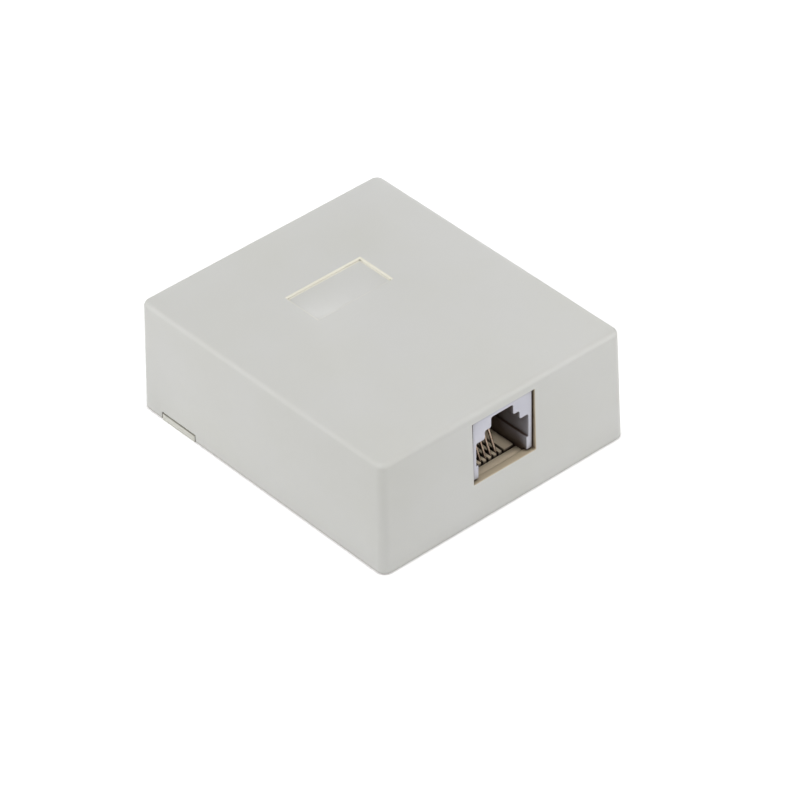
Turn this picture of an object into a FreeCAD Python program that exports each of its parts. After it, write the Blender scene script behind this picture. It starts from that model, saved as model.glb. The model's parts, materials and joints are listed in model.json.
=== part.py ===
import FreeCAD, Part
import os
import re
import Sketcher

# Surface mount jack box, millimetres.
#
# The origin is the centre of the underside, where the box stands on its wall or skirting.
# +X runs to the right along the face with the jack, +Y runs to the back, away from the jack,
# and +Z points out of the wall.  The face with the jack looks along -Y.
#
# The box is a drafted cover over a base plate.  The base carries the modular jack (a white
# housing, an ivory contact carrier and four gold wires) and four screw terminals, and four
# leads join the two.  The cover is prised up at its rear left and tips about its front rim.

V = FreeCAD.Vector
doc = FreeCAD.newDocument("SurfaceMountJackBox")

# ---------------------------------------------------------------- driving sizes

SIZES = [
    # cover
    ("box_width", 48.0, "outer width at the rim"),
    ("box_length", 55.0, "outer length at the rim"),
    ("box_height", 20.0, "top of the cover above the wall"),
    ("wall_thickness", 1.2, "side walls of the cover"),
    ("top_thickness", 1.5, "roof of the cover"),
    ("wall_draft", 1.3, "lean of every side wall, degrees"),
    ("corner_radius", 1.45, "upright corners of the cover, outside"),
    ("inner_corner_radius", 0.6, "upright corners of the cover, inside"),
    ("top_edge_radius", 0.85, "rounding round the roof"),
    ("rim_lift", 0.15, "gap under the rim of the cover"),
    ("window_width", 12.2, "opening for the jack"),
    ("window_bottom", 7.25, "top of the sill under the jack"),
    ("window_headroom", 0.15, "lintel over the top of the jack"),
    ("label_width", 14.4, "name strip recess, along X"),
    ("label_depth_y", 7.1, "name strip recess, along Y"),
    ("label_centre_y", 9.0, "middle of the name strip recess"),
    ("label_recess", 0.5, "how far the recess is sunk"),
    ("notch_length", 7.8, "prising notch, along Y"),
    ("notch_centre_y", 19.0, "middle of the prising notch"),
    ("notch_height", 1.7, "top of the prising notch above the wall"),
    ("knockout_width", 11.0, "thinned panel for a surface cable"),
    ("knockout_height", 6.5, "height of the thinned panel"),
    ("knockout_web", 0.6, "wall left in the thinned panel"),
    ("rib_thickness", 1.2, "standing ribs inside the cover"),
    ("rib_reach", 2.0, "how far a standing rib comes off its wall"),
    ("rib_height", 7.5, "height of a standing rib"),
    ("side_rib_front_y", -20.0, "front pair of side ribs"),
    ("side_rib_rear_y", 2.0, "rear pair of side ribs"),
    ("end_rib_x", 15.5, "ribs on the front and rear walls, either side"),
    # base plate
    ("base_thickness", 1.6, "floor of the base plate"),
    ("base_gap", 0.3, "base plate to the side and front walls"),
    ("base_rear_gap", 0.5, "base plate to the rear wall, room to tip"),
    ("base_corner_radius", 1.0, "corners of the base plate"),
    ("tongue_thickness", 1.1, "ledge that shows in the prising notch"),
    ("tongue_gap", 0.15, "ledge to the ends of the notch"),
    ("blade_reach", 3.0, "lowered floor behind the ledge, across"),
    ("finger_length", 6.0, "snap finger, along Y"),
    ("finger_thickness", 1.1, "snap finger, across"),
    ("finger_height", 5.0, "top of a snap finger above the floor"),
    ("finger_gap", 0.6, "snap finger to the wall of the cover"),
    ("finger_front_y", -10.0, "front pair of snap fingers"),
    ("finger_rear_y", 10.6, "rear pair of snap fingers"),
    ("bead_size", 0.2, "how far a snap bead stands proud"),
    ("bead_height", 0.8, "height of a snap bead"),
    ("mount_hole", 4.2, "screw hole to the wall"),
    ("mount_spacing", 32.0, "between the two screw holes"),
    ("mount_y", 8.0, "line of the screw holes"),
    ("mount_boss", 7.6, "raised ring round a screw hole"),
    ("mount_boss_height", 0.5, "how far that ring stands up"),
    ("entry_width", 12.0, "cable hole in the base"),
    ("entry_length", 6.5, "cable hole in the base, along Y"),
    ("entry_centre_y", 21.0, "middle of the cable hole"),
    ("entry_radius", 1.2, "corners of the cable hole"),
    ("cradle_wall", 1.2, "walls either side of the jack"),
    ("cradle_height", 9.0, "top of those walls"),
    ("cradle_gap", 0.1, "jack housing to its cradle"),
    ("rail_width", 2.0, "rails under the jack housing"),
    # jack housing
    ("jack_width", 11.6, "housing, outside"),
    ("jack_headroom", 0.4, "top of the housing under the roof"),
    ("jack_floor_z", 3.0, "underside of the housing"),
    ("jack_depth", 14.6, "front plate to the rear of the housing"),
    ("jack_recess", 0.55, "front plate behind the rim line of the cover"),
    ("jack_sill_gap", 0.3, "front plate over the sill, room to tip"),
    ("jack_wall_gap", 0.15, "housing behind the front wall"),
    ("jack_skin", 0.75, "floor and rear wall of the housing"),
    ("plate_thickness", 1.1, "front plate"),
    ("throat_width", 9.5, "between the ledges that guide the foot of the plug"),
    ("throat_top_z", 9.9, "top of those ledges"),
    ("plug_width", 10.3, "widest step, the plug's body"),
    ("plug_corner", 0.6, "cut corners of the widest step"),
    ("shoulder_width", 6.8, "middle step"),
    ("latch_width", 4.3, "top step, the plug's latch"),
    ("latch_cover", 0.7, "housing over the latch step"),
    ("latch_step", 1.85, "height of the latch step"),
    ("shoulder_step", 1.5, "height of the middle step"),
    # contact carrier
    ("carrier_gap", 0.12, "carrier in the housing"),
    ("carrier_tail", 1.0, "carrier behind the housing"),
    ("slot_floor_z", 5.1, "floor of the wire slots"),
    ("comb_top_z", 7.1, "top of the comb and of the lip"),
    ("lip_length", 1.4, "lip in front of the wires, along Y"),
    ("lip_gap", 0.55, "lip to the tips of the comb"),
    ("lip_chamfer", 0.25, "front edge of the lip"),
    ("contact_spacing", 1.016, "between neighbouring contacts"),
    ("slot_width", 0.5, "slot for a contact wire"),
    ("slot_rear_web", 3.5, "solid rear of the carrier, along Y"),
    # contact wires and leads
    ("wire_diameter", 0.45, "gold contact wire"),
    ("wire_seat", 0.02, "wire over its slot's floor"),
    ("wire_bend", 0.6, "bend at the front of a wire, centre line"),
    ("wire_rise", 67.0, "slope of the free end, degrees"),
    ("wire_drop", 5.0, "free end below the top of the latch step"),
    ("lead_diameter", 0.95, "insulated lead"),
    ("lead_gap", 0.05, "lead in its bore and barrel"),
    ("lead_embed", 3.0, "lead inside the carrier"),
    ("lead_bend", 5.0, "bend of a lead, centre line"),
    # screw terminals
    ("post_inset", 10.0, "terminals in from the sides of the base plate"),
    ("front_post_y", 0.0, "front pair of terminals"),
    ("rear_post_y", 16.0, "rear pair of terminals"),
    ("post_size", 8.4, "square post"),
    ("post_top_z", 4.0, "top of a post"),
    ("post_bore_gap", 0.5, "hole of a post round its screw, across the corners"),
    ("post_bore_floor", 0.7, "skin left under the screw of a post"),
    ("nut_size", 7.0, "square nut plate"),
    ("nut_gap", 0.05, "nut plate in its pocket"),
    ("nut_thickness", 0.8, "nut plate"),
    ("nut_sink", 0.4, "depth of the nut plate's pocket"),
    ("screw_diameter", 3.4, "terminal screw"),
    ("screw_gap", 0.03, "screw in the nut plate, round"),
    ("screw_length", 4.4, "under the head"),
    ("head_diameter", 6.0, "screw head"),
    ("head_height", 2.2, "screw head"),
    ("drive_width", 1.0, "slot and cross in the head"),
    ("drive_depth", 1.0, "slot and cross in the head"),
    ("washer_diameter", 6.6, "washer under the head"),
    ("washer_thickness", 0.6, "washer under the head"),
    ("washer_hole", 3.7, "washer and spade lug, round the screw"),
    ("lug_width", 6.2, "spade lug"),
    ("lug_thickness", 0.6, "spade lug"),
    ("lug_neck", 2.6, "neck between the spade and its barrel"),
    ("barrel_start", 4.4, "screw to the near end of the barrel"),
    ("barrel_length", 4.0, "crimp barrel"),
    ("barrel_wall", 0.5, "crimp barrel"),
    ("lug_angle", 65.0, "turn of a lead towards its terminal, degrees"),
    # working allowance
    ("overcut", 1.0, "how far a cut runs past the face it opens"),
]

sheet = doc.addObject("Spreadsheet::Sheet", "Sizes")
for row, (alias, number, meaning) in enumerate(SIZES, start=1):
    sheet.set("A%d" % row, meaning)
    sheet.set("B%d" % row, str(number))
    sheet.setAlias("B%d" % row, alias)
doc.recompute()

ALIASES = {alias for alias, number, meaning in SIZES}


def cell(text):
    """An expression in plain aliases, as the one the document understands."""
    def named(found):
        word = found.group()
        return "Sizes." + word if word in ALIASES else word

    return re.sub(r"[a-z_]{2,}", named, text)


def value(text):
    """What an expression comes to now."""
    return float(sheet.evalExpression(cell(text)))


# ---------------------------------------------------------------- derived places

HALF_W = "(box_width / 2)"
HALF_L = "(box_length / 2)"
LEAN = "tan(wall_draft)"
FRONT = f"(-{HALF_L})"
BASE_X = f"({HALF_W} - wall_thickness - base_gap)"
BASE_FRONT = f"({FRONT} + wall_thickness + base_gap)"
BASE_REAR = f"({HALF_L} - wall_thickness - base_rear_gap)"

JACK_FRONT = f"({FRONT} + {LEAN} * window_bottom + jack_recess)"
JACK_SHOULDER = f"({FRONT} + wall_thickness + {LEAN} * window_bottom + jack_wall_gap)"
JACK_REAR = f"({JACK_FRONT} + jack_depth)"
JACK_TOP = "(box_height - top_thickness - jack_headroom)"
WINDOW_TOP = f"({JACK_TOP} + window_headroom)"
LATCH_TOP = f"({JACK_TOP} - latch_cover)"
LATCH_FOOT = f"({LATCH_TOP} - latch_step)"
PLUG_TOP = f"({LATCH_FOOT} - shoulder_step)"
THROAT_X = "(throat_width / 2)"
CARRIER_X = f"({THROAT_X} - carrier_gap)"
JACK_BED = "(jack_floor_z + jack_skin)"
CARRIER_BOTTOM = f"({JACK_BED} + carrier_gap)"
CARRIER_REAR = f"({JACK_REAR} + carrier_tail)"
LIP_REAR = f"({JACK_SHOULDER} + lip_length)"
COMB_FRONT = f"({LIP_REAR} + lip_gap)"
COMB_REAR = f"({CARRIER_REAR} - slot_rear_web)"
WIRE_Z = "(slot_floor_z + wire_diameter / 2 + wire_seat)"
WIRE_END = f"({LATCH_TOP} - wire_drop)"
LEAD_START = f"({CARRIER_REAR} - lead_embed)"

POST_X = f"({BASE_X} - post_inset)"
NUT_TOP = "(post_top_z - nut_sink + nut_thickness)"
LUG_TOP = f"({NUT_TOP} + lug_thickness)"
WASHER_TOP = f"({LUG_TOP} + washer_thickness)"
BARREL_RADIUS = "(lead_diameter / 2 + lead_gap + barrel_wall)"

# ---------------------------------------------------------------- drawing helpers


def new_body(label):
    """An empty body whose label is the name of the sub-part."""
    body = doc.addObject("PartDesign::Body", label)
    body.Label = label
    return body


def place(body, x="0", y="0", z="0", turn=None):
    """Put a body at its place, each coordinate tied to the sheet."""
    for axis, text in zip("xyz", (x, y, z)):
        body.setExpression("Placement.Base." + axis, cell(text))
    if turn is not None:
        body.Placement.Rotation = FreeCAD.Rotation(V(0, 0, 1), value(turn))
        body.setExpression("Placement.Rotation.Angle", cell(turn))


def new_sketch(body, name, plane, offset="0"):
    """A sketch on one of the body's own origin planes, moved along that plane's normal."""
    support = [f for f in body.Origin.OriginFeatures if f.Role == plane][0]
    sketch = body.newObject("Sketcher::SketchObject", name)
    sketch.AttachmentSupport = [(support, "")]
    sketch.MapMode = "FlatFace"
    sketch.setExpression("AttachmentOffset.Base.z", cell(offset))
    return sketch


def hold(sketch, geometry, point, x, y):
    """Hold one point of a sketch at two expressions."""
    for kind, text in (("DistanceX", x), ("DistanceY", y)):
        number = sketch.addConstraint(Sketcher.Constraint(kind, -1, 1, geometry, point, value(text)))
        sketch.setExpression("Constraints[%d]" % number, cell(text))


def polygon(sketch, corners):
    """A closed outline of straight edges."""
    points = [V(value(x), value(y), 0) for x, y in corners]
    first = sketch.GeometryCount
    count = len(points)
    for i in range(count):
        sketch.addGeometry(Part.LineSegment(points[i], points[(i + 1) % count]), False)
    for i in range(count):
        sketch.addConstraint(Sketcher.Constraint("Coincident", first + i, 2, first + (i + 1) % count, 1))
        hold(sketch, first + i, 1, *corners[i])


def rectangle(sketch, left, right, low, high):
    polygon(sketch, [(left, low), (right, low), (right, high), (left, high)])


def mirrored(sketch, right):
    """A closed outline from its right half, corner by corner from bottom to top."""
    polygon(sketch, right + [(f"-({x})", z) for x, z in reversed(right)])


def centred(sketch, x, y, width, height):
    rectangle(sketch, f"{x} - {width} / 2", f"{x} + {width} / 2",
              f"{y} - {height} / 2", f"{y} + {height} / 2")


def circle(sketch, x, y, radius):
    number = sketch.addGeometry(Part.Circle(V(value(x), value(y), 0), V(0, 0, 1), value(radius)), False)
    hold(sketch, number, 3, x, y)
    limit = sketch.addConstraint(Sketcher.Constraint("Radius", number, value(radius)))
    sketch.setExpression("Constraints[%d]" % limit, cell(radius))


def eight_sided(sketch, x, y, across):
    """A wire, a lead or a hidden hole: a regular outline whose corners lie on its round."""
    corners = []
    for turn in range(8):
        angle = 22.5 + 45 * turn
        corners.append((f"{x} + {across} / 2 * cos({angle})", f"{y} + {across} / 2 * sin({angle})"))
    polygon(sketch, corners)


def bent_path(sketch, points, centre, radius, ahead):
    """Straight, arc, straight: points are the four ends, ahead says if the arc runs anticlockwise."""
    p = [V(value(x), value(y), 0) for x, y in points]
    middle = V(value(centre[0]), value(centre[1]), 0)
    rad = value(radius)
    away = p[1] + p[2] - middle * 2
    top = middle + away.normalize() * rad
    sketch.addGeometry(Part.LineSegment(p[0], p[1]), False)
    sketch.addGeometry(Part.Arc(p[1], top, p[2]), False)
    sketch.addGeometry(Part.LineSegment(p[2], p[3]), False)
    start, end = (1, 2) if ahead else (2, 1)
    sketch.addConstraint(Sketcher.Constraint("Coincident", 0, 2, 1, start))
    sketch.addConstraint(Sketcher.Constraint("Coincident", 1, end, 2, 1))
    hold(sketch, 0, 1, *points[0])
    hold(sketch, 0, 2, *points[1])
    hold(sketch, 2, 1, *points[2])
    hold(sketch, 2, 2, *points[3])
    limit = sketch.addConstraint(Sketcher.Constraint("Radius", 1, rad))
    sketch.setExpression("Constraints[%d]" % limit, cell(radius))


def grow(body, sketch, name, length, back=False, taper=None, kind="PartDesign::Pad"):
    """A pad or a pocket.  A pad follows the sketch's normal and a pocket runs against it."""
    before = body.Shape.Volume if body.Tip else 0.0
    feature = body.newObject(kind, name)
    feature.Profile = sketch
    feature.Reversed = back
    feature.setExpression("Length", cell(length))
    if taper:
        feature.setExpression("TaperAngle", cell(taper))
    doc.recompute()
    gain = feature.Shape.Volume - before
    right_way = gain > 0 if kind == "PartDesign::Pad" else gain < 0
    if not right_way:
        raise ValueError("%s in %s changes nothing" % (name, body.Label))
    return feature


def cut(body, sketch, name, length, back=False, taper=None):
    return grow(body, sketch, name, length, back, taper, "PartDesign::Pocket")


def soften(body, name, edges, size, kind="PartDesign::Fillet"):
    """A fillet or a chamfer on edges of the body's newest feature, found by a test."""
    base = body.Tip
    names = ["Edge%d" % (i + 1) for i, edge in enumerate(base.Shape.Edges) if edges(edge)]
    feature = body.newObject(kind, name)
    feature.Base = (base, names)
    feature.setExpression("Radius" if kind == "PartDesign::Fillet" else "Size", cell(size))
    doc.recompute()
    return feature


def standing(face):
    """A face whose edges include an upright one."""
    return any(upright(edge) for edge in face.Edges)


def lean(body, name, faces, back=False):
    """Draft on faces found by a test, turned about the flat underside of the rim."""
    base = body.Tip
    low = value("rim_lift")
    every = list(enumerate(base.Shape.Faces, start=1))
    rim = [i for i, face in every if all(near(v.Z, low) for v in face.Vertexes)]
    feature = body.newObject("PartDesign::Draft", name)
    feature.Base = (base, ["Face%d" % i for i, face in every if faces(face)])
    feature.NeutralPlane = (base, ["Face%d" % rim[0]])
    feature.Reversed = back
    feature.setExpression("Angle", cell("wall_draft"))
    doc.recompute()
    return feature


def repeat(body, features, name, axis, length, copies, back=False):
    """A row of equal features along one of the body's own axes."""
    pattern = body.newObject("PartDesign::LinearPattern", name)
    pattern.Originals = features
    pattern.Direction = ([f for f in body.Origin.OriginFeatures if f.Role == axis][0], [""])
    pattern.Reversed = back
    pattern.setExpression("Length", cell(length))
    pattern.Occurrences = copies
    body.Tip = pattern
    doc.recompute()
    return pattern


def near(a, b):
    return abs(a - b) < 0.02


def upright(edge):
    """An edge that runs from bottom to top, leaning no more than a drafted wall does."""
    ends = [v.Point for v in edge.Vertexes]
    if len(ends) < 2:
        return False
    run = ends[1] - ends[0]
    return abs(run.z) > 0.9 * run.Length and run.Length > 0.5


def swept(body, path, profile, name):
    """A wire or lead along its path, checked against its section times its length."""
    pipe = body.newObject("PartDesign::AdditivePipe", name)
    pipe.Profile = profile
    pipe.Spine = (path, ["Edge1", "Edge2", "Edge3"])
    doc.recompute()
    length = sum(edge.Length for edge in path.Shape.Edges)
    section = Part.Face(Part.Wire(Part.sortEdges(profile.Shape.Edges)[0])).Area
    if abs(pipe.Shape.Volume / (section * length) - 1) > 0.01:
        raise ValueError("%s is not as long as its path" % body.Label)
    return length


# ---------------------------------------------------------------- cover


def build_cover():
    """A drafted shell, open below, with a closed window for the jack."""
    body = new_body("cover")

    plan = new_sketch(body, "cover_plan", "XY_Plane", "rim_lift")
    rectangle(plan, f"-{HALF_W}", HALF_W, FRONT, HALF_L)
    grow(body, plan, "block", "box_height - rim_lift")
    soften(body, "upright_corners", upright, "corner_radius")
    lean(body, "outer_draft", standing)
    top = value("box_height")
    soften(body, "roof_edge", lambda e: all(near(v.Z, top) for v in e.Vertexes), "top_edge_radius")

    hollow = new_sketch(body, "cover_hollow", "XY_Plane", "rim_lift")
    rectangle(hollow, f"-({HALF_W} - wall_thickness)", f"{HALF_W} - wall_thickness",
              f"{FRONT} + wall_thickness", f"{HALF_L} - wall_thickness")
    cut(body, hollow, "inside", "box_height - top_thickness - rim_lift", back=True)
    inside_x = value(f"{HALF_W} - wall_thickness * 0.9")
    inside_y = value(f"{HALF_L} - wall_thickness * 0.9")
    roof = value("box_height - top_thickness")

    def inside(shape):
        return all(abs(v.X) < inside_x and abs(v.Y) < inside_y for v in shape.Vertexes)

    soften(body, "inside_corners", lambda e: upright(e) and inside(e), "inner_corner_radius")
    lean(body, "inner_draft", lambda f: standing(f) and inside(f), back=True)

    # Standing ribs on the side walls and on the end walls.  Their feet rest on the base plate.
    root = "wall_thickness * 0.6"
    tip = "wall_thickness + rib_reach"
    feet = new_sketch(body, "rib_feet", "XY_Plane", "base_thickness")
    for y in ("side_rib_front_y", "side_rib_rear_y"):
        low, high = f"{y} - rib_thickness / 2", f"{y} + rib_thickness / 2"
        rectangle(feet, f"{HALF_W} - ({tip})", f"{HALF_W} - {root}", low, high)
        rectangle(feet, f"{root} - {HALF_W}", f"{tip} - {HALF_W}", low, high)
    for x in ("-end_rib_x", "end_rib_x"):
        left, right = f"{x} - rib_thickness / 2", f"{x} + rib_thickness / 2"
        rectangle(feet, left, right, f"{HALF_L} - ({tip}) - (base_rear_gap - base_gap)", f"{HALF_L} - {root}")
        rectangle(feet, left, right, f"{root} - {HALF_L}", f"{tip} - {HALF_L}")
    grow(body, feet, "standing_ribs", "rib_height")

    # Snap beads along the side walls, opposite the fingers of the base.
    beads = new_sketch(body, "bead_section", "XZ_Plane", "-(finger_rear_y + finger_length / 2)")
    for side in ("", "-"):
        wall = f"({HALF_W} - wall_thickness - {LEAN} * base_thickness)"
        foot = "base_thickness + finger_height - bead_height * 3.5"
        polygon(beads, [(f"{side}({wall} + bead_size * 2)", foot),
                        (f"{side}({wall} - bead_size)", f"{foot} + bead_height / 2"),
                        (f"{side}({wall} + bead_size * 2)", f"{foot} + bead_height")])
    bead = grow(body, beads, "rear_beads", "finger_length")
    repeat(body, [bead], "all_beads", "Y_Axis", "finger_rear_y - finger_front_y", 2, back=True)

    # Window for the jack, closed below by the sill.
    window = new_sketch(body, "jack_window", "XZ_Plane", HALF_L)
    rectangle(window, "-window_width / 2", "window_width / 2", "window_bottom", WINDOW_TOP)
    cut(body, window, "window", "wall_thickness + overcut")

    # Recess for a name strip, near the rear of the roof.
    strip = new_sketch(body, "label_outline", "XY_Plane", "box_height")
    centred(strip, "0", "label_centre_y", "label_width", "label_depth_y")
    cut(body, strip, "label_recess_cut", "label_recess")

    # Prising notch in the rim of the left wall.
    notch = new_sketch(body, "notch_outline", "YZ_Plane", f"-{HALF_W}")
    rectangle(notch, "notch_centre_y - notch_length / 2", "notch_centre_y + notch_length / 2",
              "rim_lift - overcut", "notch_height")
    cut(body, notch, "prising_notch", "wall_thickness + overcut", back=True)

    # Thinned panel for a surface cable, cut from inside the rear wall.
    panel = new_sketch(body, "knockout_outline", "XZ_Plane", f"-({HALF_L} - wall_thickness * 3)")
    rectangle(panel, "-knockout_width / 2", "knockout_width / 2",
              "base_thickness + base_gap", "base_thickness + knockout_height")
    cut(body, panel, "knockout",
        f"wall_thickness * 3 - knockout_web - {LEAN} * (base_thickness + knockout_height)")
    return body


# ---------------------------------------------------------------- base plate


def build_base_plate():
    """The moulded floor with everything that the box holds standing on it."""
    body = new_body("base_plate")

    plan = new_sketch(body, "base_plan", "XY_Plane")
    rectangle(plan, f"-{BASE_X}", BASE_X, BASE_FRONT, BASE_REAR)
    grow(body, plan, "floor", "base_thickness")
    soften(body, "floor_corners", upright, "base_corner_radius")

    # Ledge under the prising notch.  A blade goes in over it, and the floor is lowered behind it.
    ledge = new_sketch(body, "ledge_outline", "XY_Plane")
    rectangle(ledge, f"-{HALF_W} + {LEAN} * tongue_thickness", f"-{BASE_X} + overcut",
              "notch_centre_y - notch_length / 2 + tongue_gap",
              "notch_centre_y + notch_length / 2 - tongue_gap")
    grow(body, ledge, "prising_ledge", "tongue_thickness")
    relief = new_sketch(body, "blade_relief", "XY_Plane", "base_thickness")
    rectangle(relief, f"-{HALF_W}", f"-{BASE_X} + blade_reach",
              "notch_centre_y - notch_length / 2 + tongue_gap",
              "notch_centre_y + notch_length / 2 - tongue_gap")
    cut(body, relief, "blade_relief_cut", "base_thickness - tongue_thickness")

    # Snap fingers along the two long sides.
    fingers = new_sketch(body, "finger_feet", "XY_Plane")
    outer = f"({HALF_W} - wall_thickness - finger_gap)"
    for y in ("finger_front_y", "finger_rear_y"):
        low, high = f"{y} - finger_length / 2", f"{y} + finger_length / 2"
        rectangle(fingers, f"{outer} - finger_thickness", outer, low, high)
        rectangle(fingers, f"-{outer}", f"finger_thickness - {outer}", low, high)
    grow(body, fingers, "snap_fingers", "base_thickness + finger_height")
    hooks = new_sketch(body, "hook_section", "XZ_Plane", "-(finger_rear_y + finger_length / 2)")
    for side in ("", "-"):
        crown = "base_thickness + finger_height - bead_height * 1.5"
        polygon(hooks, [(f"{side}({outer} - finger_thickness / 2)", f"{crown} - bead_height / 2"),
                        (f"{side}{outer}", f"{crown} - bead_height / 2"),
                        (f"{side}({outer} + bead_size)", crown),
                        (f"{side}{outer}", f"{crown} + bead_height / 2"),
                        (f"{side}({outer} - finger_thickness / 2)", f"{crown} + bead_height / 2")])
    hook = grow(body, hooks, "rear_hooks", "finger_length")
    repeat(body, [hook], "all_hooks", "Y_Axis", "finger_rear_y - finger_front_y", 2, back=True)

    # Cradle for the jack: two side walls and two rails.
    cradle = new_sketch(body, "cradle_plan", "XY_Plane")
    near_x = "(jack_width / 2 + cradle_gap)"
    for side in ("", "-"):
        a, b = f"{side}{near_x}", f"{side}({near_x} + cradle_wall)"
        low, high = (a, b) if side == "" else (b, a)
        rectangle(cradle, low, high, f"{JACK_SHOULDER} + rib_thickness", f"{JACK_REAR} - rib_thickness")
    grow(body, cradle, "cradle_walls", "cradle_height")
    rails = new_sketch(body, "rail_plan", "XY_Plane")
    for side in ("", "-"):
        a, b = f"{side}(jack_width / 2 - rail_width)", f"{side}(jack_width / 2)"
        low, high = (a, b) if side == "" else (b, a)
        rectangle(rails, low, high, f"{JACK_SHOULDER} + rib_thickness", f"{JACK_REAR} - rib_thickness")
    grow(body, rails, "cradle_rails", "jack_floor_z")
    stop = new_sketch(body, "stop_plan", "XY_Plane")
    rectangle(stop, "-jack_width / 2", "jack_width / 2", f"{CARRIER_REAR} + cradle_gap",
              f"{CARRIER_REAR} + cradle_gap + cradle_wall")
    grow(body, stop, "cradle_stop", f"{WIRE_Z} - lead_diameter / 2 - cradle_gap")

    # Square posts, each with a pocket for its nut plate and a hole for its screw.
    posts = new_sketch(body, "post_plan", "XY_Plane")
    pockets = new_sketch(body, "nut_pockets", "XY_Plane", "post_top_z")
    bores = new_sketch(body, "post_bores", "XY_Plane", "post_top_z")
    for x in (f"-{POST_X}", POST_X):
        for y in ("front_post_y", "rear_post_y"):
            centred(posts, x, y, "post_size", "post_size")
            centred(pockets, x, y, "(nut_size + nut_gap * 2)", "(nut_size + nut_gap * 2)")
            eight_sided(bores, x, y, "(screw_diameter + post_bore_gap)")
    grow(body, posts, "terminal_posts", "post_top_z")
    cut(body, pockets, "nut_pocket_cuts", "nut_sink")
    cut(body, bores, "post_bore_cuts", "post_top_z - post_bore_floor")

    # Screw holes to the wall, in raised rings, and the cable hole.
    rings = new_sketch(body, "mount_rings", "XY_Plane")
    holes = new_sketch(body, "mount_holes", "XY_Plane", "base_thickness + mount_boss_height")
    for x in ("-mount_spacing / 2", "mount_spacing / 2"):
        circle(rings, x, "mount_y", "mount_boss / 2")
        circle(holes, x, "mount_y", "mount_hole / 2")
    grow(body, rings, "mount_rings_pad", "base_thickness + mount_boss_height")
    cut(body, holes, "mount_hole_cuts", "base_thickness + mount_boss_height + overcut")
    entry = new_sketch(body, "entry_outline", "XY_Plane", "base_thickness")
    centred(entry, "0", "entry_centre_y", "entry_width", "entry_length")
    cut(body, entry, "cable_entry", "base_thickness + overcut")
    reach_x = value("entry_width / 2")
    reach_y = value("entry_length / 2")
    middle = value("entry_centre_y")
    soften(body, "entry_corners",
           lambda e: upright(e) and all(near(abs(v.X), reach_x) and near(abs(v.Y - middle), reach_y)
                                        for v in e.Vertexes),
           "entry_radius")
    return body


# ---------------------------------------------------------------- modular jack


def build_jack_housing():
    """A sleeve for the plug.  Its front plate has the stepped opening that keeps the latch."""
    body = new_body("jack_housing")

    nose = new_sketch(body, "nose_outline", "XZ_Plane", f"-{JACK_FRONT}")
    rectangle(nose, "-jack_width / 2", "jack_width / 2", "window_bottom + jack_sill_gap", JACK_TOP)
    grow(body, nose, "nose", f"{JACK_REAR} - {JACK_FRONT}", back=True)
    keel = new_sketch(body, "keel_outline", "XZ_Plane", f"-{JACK_SHOULDER}")
    rectangle(keel, "-jack_width / 2", "jack_width / 2", "jack_floor_z", JACK_TOP)
    grow(body, keel, "keel", f"{JACK_REAR} - {JACK_SHOULDER}", back=True)

    # The room behind the front plate is as wide as the plug, and narrower between two ledges.
    room = new_sketch(body, "plug_room", "XZ_Plane", f"-({JACK_FRONT} + plate_thickness)")
    mirrored(room, [(THROAT_X, JACK_BED), (THROAT_X, "throat_top_z"),
                    ("plug_width / 2", "throat_top_z"), ("plug_width / 2", LATCH_TOP)])
    cut(body, room, "plug_room_cut", f"{JACK_REAR} - {JACK_FRONT} - plate_thickness - jack_skin")

    steps = new_sketch(body, "stepped_opening", "XZ_Plane", f"-({JACK_FRONT} - overcut)")
    mirrored(steps, [(THROAT_X, JACK_BED), (THROAT_X, "throat_top_z"), ("plug_width / 2", "throat_top_z"),
                     ("plug_width / 2", f"{PLUG_TOP} - plug_corner"),
                     ("plug_width / 2 - plug_corner", PLUG_TOP), ("shoulder_width / 2", PLUG_TOP),
                     ("shoulder_width / 2", LATCH_FOOT), ("latch_width / 2", LATCH_FOOT),
                     ("latch_width / 2", LATCH_TOP)])
    cut(body, steps, "stepped_opening_cut", "plate_thickness + overcut * 2")

    door = new_sketch(body, "carrier_door", "XZ_Plane", f"-({JACK_REAR} - jack_skin - overcut)")
    rectangle(door, f"-{THROAT_X}", THROAT_X, JACK_BED, "comb_top_z + carrier_gap")
    cut(body, door, "carrier_door_cut", "jack_skin + overcut * 2")
    return body


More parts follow.
